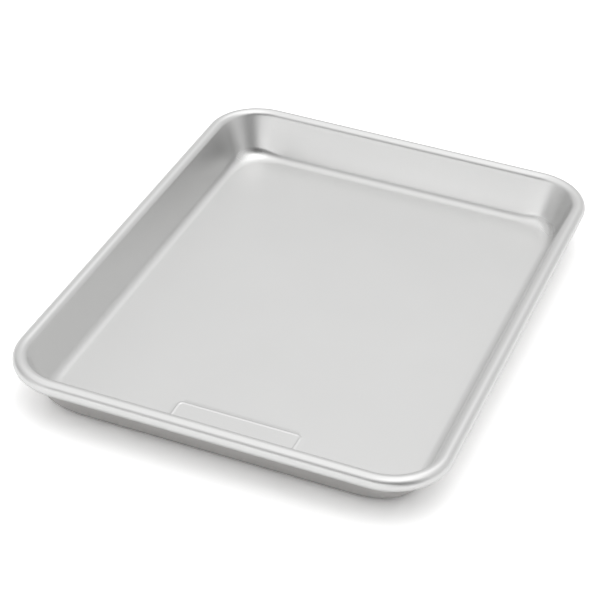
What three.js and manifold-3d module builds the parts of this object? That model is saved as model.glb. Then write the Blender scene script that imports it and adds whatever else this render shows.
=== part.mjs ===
// Quarter sheet pan: one drawn aluminium sheet whose rim is rolled round a steel wire.
// Millimetres, +Z up. The pan stands on z = 0, its middle is at x = y = 0 and its long side lies along Y.
// A cross-section point is (inset, height): inset is how far it lies inside the rim's outermost line.
import * as THREE from "three";
import { mergeVertices } from "three/addons/utils/BufferGeometryUtils.js";
import Module from "manifold-3d";

// Driving dimensions of the whole pan
const rimWidth = 248;
const rimLength = 326;
const panHeight = 29.6;
const wallTaper = THREE.MathUtils.degToRad(18.8);
const floorFillet = 6.2;
const floorCornerRadius = 13;

// Driving dimensions at the middle of a corner, and how far along the straight sides they fade out
const cornerTaper = THREE.MathUtils.degToRad(22);
const cornerFillet = 12;
const cornerFade = 12;

// Driving dimensions of the sheet, the wire and the roll that holds it
const sheetThickness = 0.9;
const wireDiameter = 6.35;
const wireClearance = 0.3;
const rollEndGap = 0.4;
const wireEndGap = 1;

// Driving dimensions of the empty stamped border near the front edge of the floor
const borderWidth = 71;
const borderDepth = 14.5;
const borderFrontMargin = 14.5;
const borderCornerRadius = 2.5;
const borderRidgeWidth = 1.4;
const borderGrooveWidth = 0.8;
const borderHeight = 0.35;

// Facets along each round stretch
const cornerSteps = 8;
const fadeSteps = 2;
const filletSteps = 4;
const rollQuarterSteps = 5;
const wireSides = 12;
const borderCornerSteps = 4;

// The roll is a tube round the wire.
// It stops where its outer face comes within rollEndGap of the wall's outer face.
const rollInnerRadius = wireDiameter / 2 + wireClearance;
const rollRadius = rollInnerRadius + sheetThickness;
const rollCentre = new THREE.Vector2(rollRadius, panHeight - rollRadius);
const rollOpening = Math.acos(1 - (sheetThickness + rollEndGap) / rollRadius);

// The wall's inner face runs straight off the roll as a tangent.
// The fillet touches it and the floor's upper face, which fixes the fillet's centre.
function filletCentre(taper, fillet) {
  const height = sheetThickness + fillet;
  const wallNormal = new THREE.Vector2(Math.cos(taper), Math.sin(taper));
  const wallReach = rollCentre.dot(wallNormal) + rollRadius + fillet;
  return new THREE.Vector2((wallReach - height * wallNormal.y) / wallNormal.x, height);
}

// Floor, wall and roll turn each corner about one upright axis.
const floorInset = filletCentre(wallTaper, floorFillet).x;
const rimCornerRadius = floorCornerRadius + floorInset;
const cornerCentreX = rimWidth / 2 - rimCornerRadius;
const cornerCentreY = rimLength / 2 - rimCornerRadius;

function arc(centre, radius, from, to, steps) {
  return new THREE.EllipseCurve(centre.x, centre.y, radius, radius, from, to, to < from).getPoints(steps);
}

// The roll's round at one radius, with a point on its top, its outermost and its lowest line.
function rollArc(radius, taper) {
  const rollEnd = 2 * Math.PI + taper - rollOpening;
  const marks = [taper, Math.PI / 2, Math.PI, 3 * Math.PI / 2, rollEnd];
  const points = [];
  for (let k = 0; k + 1 < marks.length; k += 1) {
    const quarter = arc(rollCentre, radius, marks[k], marks[k + 1], rollQuarterSteps);
    points.push(...quarter.slice(k === 0 ? 0 : 1));
  }
  return points;
}

// A station is a place on the way round the pan: the axis it lies beside, the way out from there, and its
// share of the corner's form, which is 1 at a corner's middle and falls as a cosine to 0 on the sides.
function station(x, y, angle, offMiddle) {
  return {
    axis: new THREE.Vector2(x, y),
    out: new THREE.Vector2(Math.cos(angle), Math.sin(angle)),
    share: 0.5 + 0.5 * Math.cos(offMiddle * Math.PI / 2),
  };
}

// The four corners in turn, anticlockwise from the back left, each with steps on the sides before and after.
function cornerStations(sideSteps) {
  const stations = [];
  const sides = [[-1, 1], [-1, -1], [1, -1], [1, 1]];
  sides.forEach(([sideX, sideY], corner) => {
    for (let step = -sideSteps; step <= cornerSteps + sideSteps; step += 1) {
      const turned = THREE.MathUtils.clamp(step / cornerSteps, 0, 1);
      const faded = (step - turned * cornerSteps) / fadeSteps;
      const angle = (corner + 1 + turned) * Math.PI / 2;
      const x = sideX * cornerCentreX - Math.sin(angle) * faded * cornerFade;
      const y = sideY * cornerCentreY + Math.cos(angle) * faded * cornerFade;
      stations.push(station(x, y, angle, Math.abs(2 * turned - 1) + Math.abs(faded)));
    }
  });
  return stations;
}

function pointAt(place, section) {
  const reach = rimCornerRadius - section.x;
  const x = place.axis.x + reach * place.out.x;
  const y = place.axis.y + reach * place.out.y;
  return new THREE.Vector3(x, y, section.y);
}

// Joins equal closed rings in turn and closes the first and the last with a fan.
function bodyFromRings(rings) {
  const count = rings[0].length;
  const points = rings.flat();
  const faces = [];
  for (let ring = 0; ring + 1 < rings.length; ring += 1) {
    for (let k = 0; k < count; k += 1) {
      const a = ring * count + k;
      const b = ring * count + (k + 1) % count;
      faces.push(a, b + count, b, a, a + count, b + count);
    }
  }
  const closeEnd = (first, forward) => {
    const centre = new THREE.Vector3();
    points.slice(first, first + count).forEach((point) => centre.addScaledVector(point, 1 / count));
    points.push(centre);
    for (let k = 0; k < count; k += 1) {
      const a = first + k;
      const b = first + (k + 1) % count;
      faces.push(points.length - 1, forward ? a : b, forward ? b : a);
    }
  };
  closeEnd(0, true);
  closeEnd((rings.length - 1) * count, false);
  return new THREE.BufferGeometry().setFromPoints(points).setIndex(faces);
}

// Adding and cutting of closed solids
const wasm = await Module();
wasm.setup();

function toSolid(geometry) {
  const bare = geometry.clone();
  bare.deleteAttribute("normal");
  bare.deleteAttribute("uv");
  const merged = mergeVertices(bare);
  const vertProperties = new Float32Array(merged.attributes.position.array);
  const triVerts = new Uint32Array(merged.index.array);
  return new wasm.Manifold(new wasm.Mesh({ numProp: 3, vertProperties, triVerts }));
}

function toGeometry(solid) {
  const mesh = solid.getMesh();
  const geometry = new THREE.BufferGeometry();
  geometry.setAttribute("position", new THREE.BufferAttribute(mesh.vertProperties, 3));
  geometry.setIndex(new THREE.BufferAttribute(mesh.triVerts, 1));
  return geometry;
}

// The sheet: upper face from the floor over the wall and round the roll, then back along the under face.
function sheetSection(share) {
  const taper = THREE.MathUtils.lerp(wallTaper, cornerTaper, share);
  const fillet = THREE.MathUtils.lerp(floorFillet, cornerFillet, share);
  const centre = filletCentre(taper, fillet);
  const wallFoot = taper - Math.PI;
  const floorFoot = -Math.PI / 2;
  return [
    ...arc(centre, fillet, floorFoot, wallFoot, filletSteps),
    ...rollArc(rollRadius, taper),
    ...rollArc(rollInnerRadius, taper).reverse(),
    ...arc(centre, fillet + sheetThickness, wallFoot, floorFoot, filletSteps),
  ];
}

function roundedRectangle(path, width, depth, radius) {
  const x = width / 2 - radius;
  const y = depth / 2 - radius;
  path.absarc(x, y, radius, 0, Math.PI / 2);
  path.absarc(-x, y, radius, Math.PI / 2, Math.PI);
  path.absarc(-x, -y, radius, Math.PI, 3 * Math.PI / 2);
  path.absarc(x, -y, radius, 3 * Math.PI / 2, 2 * Math.PI);
  path.closePath();
  return path;
}

// A band that follows the border's line, from just under a face of the sheet to the border's height over it.
function borderBand(bandWidth, faceHeight) {
  const sunk = sheetThickness / 2;
  const outer = [borderWidth + bandWidth, borderDepth + bandWidth, borderCornerRadius + bandWidth / 2];
  const inner = [borderWidth - bandWidth, borderDepth - bandWidth, borderCornerRadius - bandWidth / 2];
  const outline = roundedRectangle(new THREE.Shape(), ...outer);
  outline.holes.push(roundedRectangle(new THREE.Path(), ...inner));
  const band = new THREE.ExtrudeGeometry(outline, {
    depth: sunk + borderHeight,
    bevelEnabled: false,
    curveSegments: borderCornerSteps,
  });
  const floorFront = -rimLength / 2 + floorInset;
  const middle = floorFront + borderFrontMargin + borderDepth / 2;
  return toSolid(band.translate(0, middle, faceHeight - sunk));
}

function panSheet() {
  const outlines = cornerStations(fadeSteps).map((place) => {
    return sheetSection(place.share).map((section) => pointAt(place, section));
  });
  const rings = outlines[0].map((_, level) => outlines.map((outline) => outline[level]));
  const ridge = borderBand(borderRidgeWidth, sheetThickness);
  const groove = borderBand(borderGrooveWidth, 0);
  const stamped = toSolid(bodyFromRings(rings)).add(ridge).subtract(groove);
  const aluminium = new THREE.MeshStandardMaterial({ color: 0xd3d4d3, roughness: 0.38, metalness: 1 });
  return namedMesh("pan_sheet", toGeometry(stamped), aluminium);
}

// The wire: bent to one loop inside the roll, with its two cut ends facing each other at the back.
function rimWire() {
  const start = station(-wireEndGap / 2, cornerCentreY, Math.PI / 2, 2);
  const end = station(wireEndGap / 2, cornerCentreY, Math.PI / 2, 2);
  const stations = [start, ...cornerStations(0), end];
  const section = arc(rollCentre, wireDiameter / 2, 2 * Math.PI, 0, wireSides).slice(0, wireSides);
  const rings = stations.map((place) => section.map((point) => pointAt(place, point)));
  const steel = new THREE.MeshStandardMaterial({ color: 0xa6abad, roughness: 0.45, metalness: 1 });
  return namedMesh("rim_wire", bodyFromRings(rings), steel);
}

function namedMesh(name, geometry, material) {
  geometry.computeVertexNormals();
  const mesh = new THREE.Mesh(geometry, material);
  mesh.name = name;
  return mesh;
}

const quarterSheetPan = new THREE.Group();
quarterSheetPan.add(panSheet(), rimWire());

export default quarterSheetPan;
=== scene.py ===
import math

import bpy
import numpy as np
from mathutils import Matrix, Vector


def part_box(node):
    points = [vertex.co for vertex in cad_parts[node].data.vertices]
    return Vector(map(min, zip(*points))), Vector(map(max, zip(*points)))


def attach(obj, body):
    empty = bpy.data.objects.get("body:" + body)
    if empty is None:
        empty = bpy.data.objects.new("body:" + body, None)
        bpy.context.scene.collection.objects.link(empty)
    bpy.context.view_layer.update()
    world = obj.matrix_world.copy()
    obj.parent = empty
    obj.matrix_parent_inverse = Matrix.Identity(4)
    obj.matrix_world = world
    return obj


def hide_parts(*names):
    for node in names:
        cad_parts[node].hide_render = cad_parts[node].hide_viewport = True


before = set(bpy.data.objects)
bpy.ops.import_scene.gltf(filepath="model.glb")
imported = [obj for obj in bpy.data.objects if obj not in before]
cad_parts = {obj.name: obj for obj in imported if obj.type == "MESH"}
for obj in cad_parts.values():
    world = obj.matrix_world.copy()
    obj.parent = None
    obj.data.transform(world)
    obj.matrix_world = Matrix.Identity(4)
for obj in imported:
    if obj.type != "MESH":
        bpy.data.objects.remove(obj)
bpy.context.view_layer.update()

# Pan sheet
# One aluminium sheet under a millimetre thick, drawn in a press to a floor, four sloping walls and round
# corners. Its edge is then rolled outwards and down into a tube, and an empty border is stamped into the
# floor near the front.
sheet_low, sheet_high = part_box("pan_sheet")
wire_low, wire_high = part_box("rim_wire")
sheet_thickness = 0.0009
wall_taper = math.radians(18.8)
corner_taper = math.radians(22)
floor_fillet = 0.0062
corner_fillet = 0.012
corner_fade = 0.012
floor_corner_radius = 0.013
roll_end_gap = 0.0004

# How finely each stretch of the surface is divided
corner_steps = 26
side_step = 0.005
fade_lines = 7
floor_edge_steps = 4
fillet_steps = 18
wall_steps = 10
roll_steps = 60
roll_inside_steps = 30
under_wall_steps = 6
under_fillet_steps = 12
merge_digits = 7
sharp_angle = math.radians(40)

roll_height = (wire_low.z + wire_high.z) / 2
roll_radius = sheet_high.z - roll_height
roll_inner_radius = roll_radius - sheet_thickness
roll_opening = math.acos(1 - (sheet_thickness + roll_end_gap) / roll_radius)


def fillet_inset(taper, fillet):
    """How far in from the rim the middle of the fillet lies: it touches the floor and the wall, which is a
    tangent of the roll."""
    reach = roll_radius * (1 + math.cos(taper)) + roll_height * math.sin(taper) + fillet
    return (reach - (sheet_thickness + fillet) * math.sin(taper)) / math.cos(taper)


floor_inset = fillet_inset(wall_taper, floor_fillet)
rim_corner_radius = floor_corner_radius + floor_inset
core_x = sheet_high.x - rim_corner_radius
core_y = sheet_high.y - rim_corner_radius

border_width = 0.071
border_depth = 0.0145
border_front_margin = 0.0145
border_corner_radius = 0.0025
border_ridge_width = 0.0020
border_groove_width = 0.0008
border_height = 0.00025
border_step = 0.0002
border_middle = sheet_low.y + floor_inset + border_front_margin + border_depth / 2


def way_round(x_lines, y_lines):
    """Stations once round the pan, anticlockwise from the back right: the point that each station turns
    about, and the unit vector straight out from there. A straight side steps along the given lines of the
    core rectangle, and a corner turns about the core's own corner by equal angles."""
    turns = np.linspace(0, np.pi / 2, corner_steps + 1)[1:-1]
    sides = [
        (np.column_stack([x_lines[::-1], np.full(len(x_lines), core_y)]), (-core_x, core_y)),
        (np.column_stack([np.full(len(y_lines), -core_x), y_lines[::-1]]), (-core_x, -core_y)),
        (np.column_stack([x_lines, np.full(len(x_lines), -core_y)]), (core_x, -core_y)),
        (np.column_stack([np.full(len(y_lines), core_x), y_lines]), (core_x, core_y)),
    ]
    axes, outs = [], []
    for quarter, (side, corner) in enumerate(sides):
        start = (quarter + 1) * np.pi / 2
        angles = np.concatenate([np.full(len(side), start), start + turns])
        axes += [side, np.tile(corner, (len(turns), 1))]
        outs.append(np.column_stack([np.cos(angles), np.sin(angles)]))
    return np.concatenate(axes), np.concatenate(outs)


def carried(section, axes, outs):
    """A cross-section carried along stations. A section point is (inset, height), with inset measured in
    from the rim's outermost line, so a point lies at axis + out * (rim corner radius - inset), at that
    height."""
    reach = rim_corner_radius - section[..., 0:1]
    flat = axes[:, None, :] + outs[:, None, :] * reach
    height = np.broadcast_to(section[..., 1:2], flat.shape[:2] + (1,))
    return np.concatenate([flat, height], axis=2)


def grid_faces(rows, columns, around_rows=False, around_columns=False):
    """Four-sided faces of a grid of points numbered row by row, joined end to end where asked."""
    row = np.arange(rows if around_rows else rows - 1)[:, None]
    column = np.arange(columns if around_columns else columns - 1)[None, :]
    next_row = (row + 1) % rows
    next_column = (column + 1) % columns
    corners = [row * columns + column, next_row * columns + column]
    corners += [next_row * columns + next_column, row * columns + next_column]
    return np.stack(np.broadcast_arrays(*corners), axis=-1).reshape(-1, 4)


def made_piece(name, patches, **marks):
    """One mesh from patches of (points, faces): points that coincide become one, a face that has lost a
    corner at a pole becomes a triangle, and one that has lost two is left out. A mark is a value for every
    point of each patch, and the mesh keeps it as an attribute."""
    starts = np.cumsum([0] + [len(points) for points, _ in patches])
    points = np.concatenate([points for points, _ in patches])
    faces = np.concatenate([faces + start for (_, faces), start in zip(patches, starts)])
    rounded = np.round(points, merge_digits)
    _, kept, merged = np.unique(rounded, axis=0, return_index=True, return_inverse=True)
    faces = merged.reshape(-1)[faces]
    lost = faces == np.roll(faces, 1, axis=1)
    corners_lost = lost.sum(axis=1)
    whole = faces[corners_lost == 0]
    pinched = faces[corners_lost == 1][~lost[corners_lost == 1]].reshape(-1, 3)
    mesh = bpy.data.meshes.new(name)
    mesh.from_pydata(points[kept], [], whole.tolist() + pinched.tolist())
    for mark, values in marks.items():
        attribute = mesh.attributes.new(mark, "FLOAT", "POINT")
        attribute.data.foreach_set("value", np.concatenate(values)[kept])
    mesh.shade_smooth()
    mesh.set_sharp_from_angle(angle=sharp_angle)
    piece = bpy.data.objects.new(name, mesh)
    bpy.context.collection.objects.link(piece)
    return piece


def arc(centre, radius, start, stop, steps):
    """Points on a circle from one angle to another, by equal angles."""
    angle = np.linspace(start, stop, steps + 1)
    return np.column_stack([centre[0] + radius * np.cos(angle), centre[1] + radius * np.sin(angle)])


def straight(start, stop, steps):
    """Points between the ends of a straight stretch, without the ends."""
    share = np.linspace(0, 1, steps + 1)[1:-1, None]
    return np.asarray(start) * (1 - share) + np.asarray(stop) * share


def corner_share(axes, outs):
    """How far every station is on the way from a straight side, 0, to the middle of a corner, 1: a cosine,
    half of it over the turn of the corner and half along the straight side."""
    turn = np.arctan2(np.abs(outs[:, 1]), np.abs(outs[:, 0]))
    off_middle = np.abs(turn - np.pi / 4) / (np.pi / 4)
    along_side = core_x - np.abs(axes[:, 0]) + core_y - np.abs(axes[:, 1])
    return 0.5 + 0.5 * np.cos(np.pi / 2 * np.clip(off_middle + along_side / corner_fade, 0, 2))


def sheet_section(share):
    """The sheet's whole cross-section, and which of its points lie on the under face. The upper face runs
    out from the core over the floor, up the fillet and the wall and round the roll to the cut edge. The
    under face comes back inside the roll, down the wall and in under the floor, one thickness away. The
    nearer to the middle of a corner, the more the wall leans out and the larger the fillet is."""
    taper = wall_taper + share * (corner_taper - wall_taper)
    fillet = floor_fillet + share * (corner_fillet - floor_fillet)
    fillet_centre = (fillet_inset(taper, fillet), sheet_thickness + fillet)
    roll_centre = (roll_radius, roll_height)
    roll_end = 2 * math.pi + taper - roll_opening
    wall_foot = taper - math.pi
    floor_foot = -math.pi / 2
    core_top = (rim_corner_radius, sheet_thickness)
    fillet_top = arc(fillet_centre, fillet, floor_foot, wall_foot, fillet_steps)
    roll_outside = arc(roll_centre, roll_radius, taper, roll_end, roll_steps)
    upper = np.concatenate([
        [core_top], straight(core_top, fillet_top[0], floor_edge_steps),
        fillet_top, straight(fillet_top[-1], roll_outside[0], wall_steps), roll_outside,
    ])
    core_under = (rim_corner_radius, 0)
    roll_inside = arc(roll_centre, roll_inner_radius, roll_end, taper, roll_inside_steps)
    fillet_under = arc(fillet_centre, fillet + sheet_thickness, wall_foot, floor_foot, under_fillet_steps)
    under = np.concatenate([
        roll_inside, straight(roll_inside[-1], fillet_under[0], under_wall_steps),
        fillet_under, straight(fillet_under[-1], core_under, floor_edge_steps), [core_under],
    ])
    return np.concatenate([upper, under]), np.arange(len(upper) + len(under)) >= len(upper)


def border_lift(x, y, width):
    """Height of the stamped border at a point of the floor: a raised cosine across the band, by the
    distance from the rounded rectangle that the border follows."""
    over_x = np.abs(x) - (border_width / 2 - border_corner_radius)
    over_y = np.abs(y - border_middle) - (border_depth / 2 - border_corner_radius)
    outside = np.hypot(np.maximum(over_x, 0), np.maximum(over_y, 0))
    inside = np.minimum(np.maximum(over_x, over_y), 0)
    off_line = np.abs(outside + inside - border_corner_radius)
    share = np.clip(off_line / (width / 2), 0, 1)
    return border_height * (0.5 + 0.5 * np.cos(np.pi * share))


def floor_lines(half, ridges):
    """Lines across the core from one edge to the other: even steps, closer ones where a corner's fillet
    fades out, and close ones where a ridge and its round corners lie. A line that all but coincides with
    the one before it is left out."""
    fade = np.linspace(half - corner_fade, half, fade_lines)
    lines = [np.linspace(-half, half, round(2 * half / side_step) + 1), fade, -fade]
    for ridge, inward in ridges:
        outer_end = ridge - inward * border_ridge_width / 2
        inner_end = ridge + inward * (border_corner_radius + border_step)
        start, stop = sorted([outer_end, inner_end])
        lines.append(np.arange(start, stop + border_step / 2, border_step))
    lines = np.sort(np.concatenate(lines))
    clear = np.diff(lines, prepend=-np.inf) > border_step / 3
    clear[[0, -1]] = True
    return lines[clear]


def sheet_surface():
    """The section carried round the pan, and the core of the floor as a flat grid above and below with the
    border raised in it. Beside these patches it gives the marks of their points: which lie on the under
    face, how near each is to the middle of a corner, and how near to the stamped border."""
    side = border_width / 2
    front = border_middle - border_depth / 2
    back = border_middle + border_depth / 2
    x_lines = floor_lines(core_x, [(-side, 1), (side, -1)])
    y_lines = floor_lines(core_y, [(front, 1), (back, -1)])
    axes, outs = way_round(x_lines, y_lines)
    shares = corner_share(axes, outs)
    sections, is_under = zip(*(sheet_section(share) for share in shares))
    walls = carried(np.array(sections), axes, outs).reshape(-1, 3)
    x, y = np.meshgrid(x_lines, y_lines, indexing="ij")
    raised = sheet_thickness + border_lift(x, y, border_ridge_width)
    top = np.stack([x, y, raised], axis=-1).reshape(-1, 3)
    under = np.stack([x, y, border_lift(x, y, border_groove_width)], axis=-1).reshape(-1, 3)
    core = grid_faces(len(x_lines), len(y_lines))
    wall_faces = grid_faces(len(axes), len(is_under[0]), around_rows=True)
    patches = [(walls, wall_faces[:, ::-1]), (top, core), (under, core[:, ::-1])]
    flat = np.zeros(len(top))
    off_border = np.zeros(len(walls))
    # The border's mark is full over the ridge's own width, and fades out over half that width on each side.
    near_border = border_lift(x, y, 2 * border_ridge_width).reshape(-1) / border_height
    marks = {
        "under_face": [np.concatenate(is_under), flat, flat + 1],
        "corner": [np.repeat(shares, len(is_under[0])), flat, flat],
        "stamped": [off_border, np.clip(2 * near_border, 0, 1), flat],
    }
    return patches, marks


def node(tree, kind, inputs=(), **settings):
    """A shader node with its settings. Each input is a value, or the output socket that feeds it."""
    made = tree.nodes.new(kind)
    for name, value in settings.items():
        setattr(made, name, value)
    for name, value in dict(inputs).items():
        if isinstance(value, bpy.types.NodeSocket):
            tree.links.new(value, made.inputs[name])
        else:
            made.inputs[name].default_value = value
    return made


def new_material(name):
    """An empty node material and the tree that it is drawn in."""
    material = bpy.data.materials.new(name)
    material.use_nodes = True
    material.node_tree.nodes.clear()
    return material, material.node_tree


def plus(tree, first, second):
    """The sum of two values."""
    return node(tree, "ShaderNodeMath", {0: first, 1: second}, operation="ADD").outputs[0]


def between(tree, share, first, second):
    """A value that goes from the first to the second as the share goes from 0 to 1."""
    return node(tree, "ShaderNodeMapRange", {
        "Value": share, "To Min": first, "To Max": second,
    }).outputs["Result"]


def toned(tree, share, tones):
    """A colour that goes from one tone to another as the share goes from 0 to 1."""
    ramp = node(tree, "ShaderNodeValToRGB", {"Fac": share})
    for stop, tone in zip(ramp.color_ramp.elements, tones):
        stop.color = tone
    return ramp.outputs["Color"]


# The side and corner finishes are pairs of height and roughness. The cloud finish is a change either way.
finish_height = 0.03
side_finish = [(0.0010, 0.50), (0.0080, 0.30), (0.0220, 0.34), (0.0270, 0.36)]
corner_finish = [
    (0.0010, 0.50), (0.0028, 0.22), (0.0045, 0.23),
    (0.0085, 0.32), (0.0220, 0.34), (0.0270, 0.36),
]
stamped_finish = 0.32
cloud_finish = 0.03
cloud_scale = 22.0
grain_scale = (2600, 45, 2600)
grain_strength = 0.06
grain_depth = 0.0002
bright_tones = [(0.735, 0.735, 0.73, 1), (0.765, 0.765, 0.76, 1)]
# The under face's tones are darker than the upper face's: painted shade for the shadowed table that the
# under face faces.
under_shade_tones = [(0.635, 0.625, 0.615, 1), (0.665, 0.655, 0.645, 1)]
# Painted contact shade: below the lower height the under face's tone is cut to this share, and it rises back
# to full by the upper height.
painted_shade_low = 0.0024
painted_shade_high = 0.0048
painted_shade_share = 0.74


def finish_ramp(tree, level, finish):
    """Roughness by height, eased between the given pairs of height and roughness."""
    ramp = node(tree, "ShaderNodeValToRGB", {"Fac": level})
    ramp.color_ramp.interpolation = "EASE"
    stops = ramp.color_ramp.elements
    stops.remove(stops[1])
    for height, rough in finish:
        stops.new(height / finish_height).color = (rough, rough, rough, 1)
    stops.remove(stops[0])
    return ramp.outputs["Color"]


def bare_aluminium():
    """Mill-finish aluminium. The floor keeps the sheet's dull rolled grain. The walls, the rim and the
    border were worked by the tools, so they are smoother, and the corners, which were drawn hardest, are the
    smoothest. The under face has darker tones, painted shade for the shadowed table that it faces, and is
    darker still towards its foot, painted contact shade where it stands on the table."""
    material, tree = new_material("bare_aluminium")
    place = node(tree, "ShaderNodeTexCoord").outputs["Object"]
    height = node(tree, "ShaderNodeSeparateXYZ", {"Vector": place}).outputs["Z"]
    level = node(tree, "ShaderNodeMapRange", {"Value": height, "From Max": finish_height}).outputs["Result"]
    rolled = node(tree, "ShaderNodeMapping", {"Vector": place, "Scale": grain_scale}).outputs["Vector"]
    grain = node(tree, "ShaderNodeTexNoise", {"Vector": rolled, "Scale": 1.0, "Detail": 3.0}).outputs["Fac"]
    clouds = node(tree, "ShaderNodeTexNoise", {
        "Vector": place, "Scale": cloud_scale, "Detail": 4.0,
    }).outputs["Fac"]
    in_corner = node(tree, "ShaderNodeAttribute", attribute_name="corner").outputs["Fac"]
    on_border = node(tree, "ShaderNodeAttribute", attribute_name="stamped").outputs["Fac"]
    under = node(tree, "ShaderNodeAttribute", attribute_name="under_face").outputs["Fac"]
    side_rough = finish_ramp(tree, level, side_finish)
    corner_rough = finish_ramp(tree, level, corner_finish)
    worked = between(tree, in_corner, side_rough, corner_rough)
    worked = between(tree, on_border, worked, stamped_finish)
    rough = plus(tree, worked, between(tree, clouds, -cloud_finish, cloud_finish))
    # Painted contact shade: the under face darkens towards its foot, where it meets the table.
    painted_foot_shade = node(tree, "ShaderNodeMapRange", {
        "Value": height, "From Min": painted_shade_low, "From Max": painted_shade_high, "To Min": painted_shade_share,
    }).outputs["Result"]
    # The under face's darker tone is painted shade.
    under_shade_tone = toned(tree, clouds, under_shade_tones)
    foot_shaded_tone = node(tree, "ShaderNodeVectorMath", {0: under_shade_tone, "Scale": painted_foot_shade}, operation="SCALE").outputs["Vector"]
    bright = toned(tree, clouds, bright_tones)
    tone = node(tree, "ShaderNodeMix", {"Factor": under, "A": bright, "B": foot_shaded_tone}, data_type="RGBA")
    bump = node(tree, "ShaderNodeBump", {
        "Height": grain, "Strength": grain_strength, "Distance": grain_depth,
    }).outputs["Normal"]
    surface = node(tree, "ShaderNodeBsdfPrincipled", {
        "Base Color": tone.outputs["Result"], "Metallic": 1.0, "Roughness": rough, "Normal": bump,
    })
    node(tree, "ShaderNodeOutputMaterial", {"Surface": surface.outputs["BSDF"]})
    return material


sheet_patches, sheet_marks = sheet_surface()
pan = made_piece("pan_drawn_sheet", sheet_patches, **sheet_marks)
pan.data.materials.append(bare_aluminium())
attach(pan, "root")
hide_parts("pan_sheet")

# Rim wire
# One length of galvanised steel wire, bent to a loop that stiffens the rim. Its two ends are cut square and
# face each other at the middle of the back. Nothing fixes it: the rolled edge of the sheet holds it all the
# way round.
wire_radius = (wire_high.z - wire_low.z) / 2
wire_end_gap = 0.001
wire_end_bevel = 0.0004
wire_sides = 32
crystal_scale = 420.0
zinc_tones = [(0.50, 0.52, 0.53, 1), (0.62, 0.64, 0.65, 1)]
zinc_finish = (0.38, 0.55)


def wire_surface():
    """A circle about the middle of the roll at every station. At each end the circle shrinks by the bevel
    and then to a point, which closes the cut face."""
    half_gap = wire_end_gap / 2
    ends = [half_gap, half_gap + wire_end_bevel]
    x_lines = np.array([-core_x, -ends[1], -ends[0], ends[0], ends[1], core_x])
    axes, outs = way_round(x_lines, np.array([-core_y, core_y]))
    # The way round begins on the back side, and these are the two cut ends among its stations.
    last_end, first_end = 2, 3
    order = np.roll(np.arange(len(axes)), -first_end)
    order = np.concatenate([[first_end], order, [last_end]])
    size = np.full(len(order), wire_radius)
    size[[1, -2]] -= wire_end_bevel
    size[[0, -1]] = 0
    turn = np.linspace(2 * np.pi, 0, wire_sides, endpoint=False)
    section = np.stack([
        roll_radius + size[:, None] * np.cos(turn),
        roll_height + size[:, None] * np.sin(turn),
    ], axis=-1)
    points = carried(section, axes[order], outs[order]).reshape(-1, 3)
    return [(points, grid_faces(len(order), wire_sides, around_columns=True))]


def zinc_coat():
    """Dull zinc on steel: crystals a few millimetres across, each a slightly different grey."""
    material, tree = new_material("zinc_coat")
    place = node(tree, "ShaderNodeTexCoord").outputs["Object"]
    crystals = node(tree, "ShaderNodeTexVoronoi", {"Vector": place, "Scale": crystal_scale}).outputs["Color"]
    surface = node(tree, "ShaderNodeBsdfPrincipled", {
        "Base Color": toned(tree, crystals, zinc_tones),
        "Metallic": 1.0,
        "Roughness": between(tree, crystals, *zinc_finish),
    })
    node(tree, "ShaderNodeOutputMaterial", {"Surface": surface.outputs["BSDF"]})
    return material


wire = made_piece("rim_wire_loop", wire_surface())
wire.data.materials.append(zinc_coat())
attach(wire, "root")
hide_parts("rim_wire")

# Studio
# A white table that runs out of sight in a pale room. A broad scrim and a stronger soft box hang overhead,
# and a band of light runs high round the left. A white card stands low in front. The room is dark behind the
# camera and to its right, and dim far to the left.
table_half = 3.0
table_drop = 0.00005
table_white = 0.85
table_seen_white = 1.53
table_mirrored_white = 1.15
room_light = 0.75
# A round light is the bearing of its middle from straight behind the pan, the middle's height, its radius,
# and how soft its edge is. A card or shade is its bearing, half its width, its lower and upper edge, and how
# soft its sides, its lower and its upper edge are. All of these are in degrees. Last comes the light that it
# adds, or the share it takes.
round_lights = {
    "scrim": (10, 62, 16, 16, 0.46),
    "soft_box": (128, 73, 24, 24, 1.04),
}
left_band = (-85, 113, 42, 65, 8, 3, 4, 0.32)
front_card = (184, 39, 5, 18, 8, 4, 3, 0.80)
shades = {
    "dark_right": (130, 24, -20, 53, 11, 5, 5, 0.56),
    "dark_camera": (164, 40, 20, 58, 6, 3, 18, 0.72),
    "dim_left": (-87, 18, -20, 24, 10, 5, 4, 0.34),
}

# The table lies a hair below the pan's flat floor, so that the two faces don't coincide.
table_corners = np.array([[-1, -1, 0], [1, -1, 0], [1, 1, 0], [-1, 1, 0]]) * table_half
table_corners = table_corners - [0, 0, table_drop]
table = made_piece("table_top", [(table_corners, np.array([[0, 1, 2, 3]]))])


def white_table():
    """Matt white. It is a plain pale white to the light, a brighter one in reflections and the brightest to
    the eye, as in a photograph exposed so that the open table is white and only the shadow stays."""
    material, tree = new_material("white_table")
    path = node(tree, "ShaderNodeLightPath").outputs
    mirrored = plus(tree, path["Is Glossy Ray"], path["Is Transmission Ray"])
    white = between(tree, mirrored, table_white, table_mirrored_white)
    white = between(tree, path["Is Camera Ray"], white, table_seen_white)
    matt = node(tree, "ShaderNodeBsdfDiffuse", {"Color": white})
    node(tree, "ShaderNodeOutputMaterial", {"Surface": matt.outputs[0]})
    return material


table.data.materials.append(white_table())


def soft_step(tree, value, start, stop):
    """From 0 at start to 1 at stop, smoothly; the other way round where stop lies below start."""
    return node(tree, "ShaderNodeMapRange", {
        "Value": value, "From Min": start, "From Max": stop,
    }, interpolation_type="SMOOTHSTEP").outputs["Result"]


def times(tree, first, second):
    """The product of two values."""
    return node(tree, "ShaderNodeMath", {0: first, 1: second}, operation="MULTIPLY").outputs[0]


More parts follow.
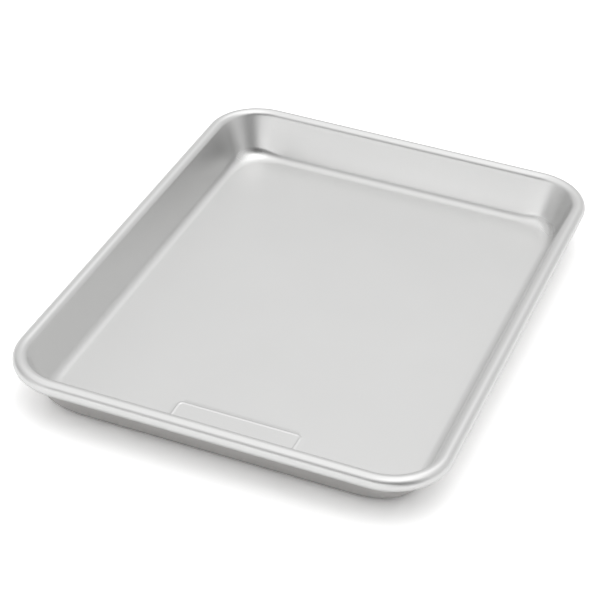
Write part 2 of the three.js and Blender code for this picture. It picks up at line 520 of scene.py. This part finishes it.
def card_light(tree, way, rise, *card):
    """A card's light by direction: full inside its width and height, and soft at its edges. The direction
    is first turned about the upright so that the card's middle lies straight behind the pan."""
    bearing, half_width, low, high, edge, foot, brim = np.radians(card[:-1])
    turned = node(tree, "ShaderNodeVectorRotate", {"Vector": way, "Angle": bearing}, rotation_type="Z_AXIS")
    parts = node(tree, "ShaderNodeSeparateXYZ", {"Vector": turned.outputs[0]}).outputs
    aside = node(tree, "ShaderNodeMath", {0: parts["X"], 1: parts["Y"]}, operation="ARCTAN2").outputs[0]
    aside = node(tree, "ShaderNodeMath", {0: aside}, operation="ABSOLUTE").outputs[0]
    across = soft_step(tree, aside, half_width + edge, half_width - edge)
    bottom = soft_step(tree, rise, low - foot, low + foot)
    top = soft_step(tree, rise, high + brim, high - brim)
    return times(tree, times(tree, across, card[-1]), times(tree, bottom, top))


def round_light(tree, way, *light):
    """A round light by direction: full inside its radius about its middle, and soft at its edge."""
    bearing, height, radius, edge = np.radians(light[:-1])
    level = math.cos(height)
    middle = (math.sin(bearing) * level, math.cos(bearing) * level, math.sin(height))
    nearness = node(tree, "ShaderNodeVectorMath", {
        0: way, 1: middle,
    }, operation="DOT_PRODUCT").outputs["Value"]
    off_middle = node(tree, "ShaderNodeMath", {0: nearness}, operation="ARCCOSINE").outputs[0]
    return times(tree, soft_step(tree, off_middle, radius + edge, radius - edge), light[-1])


def pale_room(world):
    """The room's own even light, with the band and the overhead lights added, dimmed by each shade. The card
    in front stands before the dark of the room, so its light is added last."""
    tree = world.node_tree
    tree.nodes.clear()
    way = node(tree, "ShaderNodeTexCoord").outputs["Generated"]
    upward = node(tree, "ShaderNodeSeparateXYZ", {"Vector": way}).outputs["Z"]
    rise = node(tree, "ShaderNodeMath", {0: upward}, operation="ARCSINE").outputs[0]
    light = plus(tree, room_light, card_light(tree, way, rise, *left_band))
    for round_one in round_lights.values():
        light = plus(tree, light, round_light(tree, way, *round_one))
    for shade in shades.values():
        taken = card_light(tree, way, rise, *shade)
        left = node(tree, "ShaderNodeMath", {0: 1.0, 1: taken}, operation="SUBTRACT").outputs[0]
        light = times(tree, light, left)
    light = plus(tree, light, card_light(tree, way, rise, *front_card))
    backdrop = node(tree, "ShaderNodeBackground", {"Color": (1, 1, 1, 1), "Strength": light})
    node(tree, "ShaderNodeOutputWorld", {"Surface": backdrop.outputs[0]})


world = bpy.data.worlds.new("pale_room")
world.use_nodes = True
pale_room(world)
bpy.context.scene.world = world

# Camera
# Where the photograph was taken from: above the front and somewhat to the right, a little more than a metre
# away, with a long lens held slightly askew.
camera_azimuth = math.radians(19.8445)
camera_elevation = math.radians(35.0815)
camera_roll = math.radians(3.0441)
camera_distance = 1.15905
camera_aim = np.array([-0.01213, 0.00619, 0])
sensor_width = 36.0
focal_pixels = 1972.18
frame_pixels = 600

back = np.array([
    math.sin(camera_azimuth) * math.cos(camera_elevation),
    -math.cos(camera_azimuth) * math.cos(camera_elevation),
    math.sin(camera_elevation),
])
level_right = np.array([math.cos(camera_azimuth), math.sin(camera_azimuth), 0])
level_up = np.cross(back, level_right)
right = level_right * math.cos(camera_roll) + level_up * math.sin(camera_roll)
up = level_up * math.cos(camera_roll) - level_right * math.sin(camera_roll)
pose = np.eye(4)
pose[:3, :3] = np.column_stack([right, up, back])
pose[:3, 3] = camera_aim + back * camera_distance
camera = bpy.data.objects.new("camera", bpy.data.cameras.new("camera"))
camera.data.sensor_width = sensor_width
camera.data.lens = sensor_width * focal_pixels / frame_pixels
camera.matrix_world = pose.T.tolist()
bpy.context.collection.objects.link(camera)
bpy.context.scene.camera = camera
bpy.context.scene.view_settings.view_transform = "Standard"
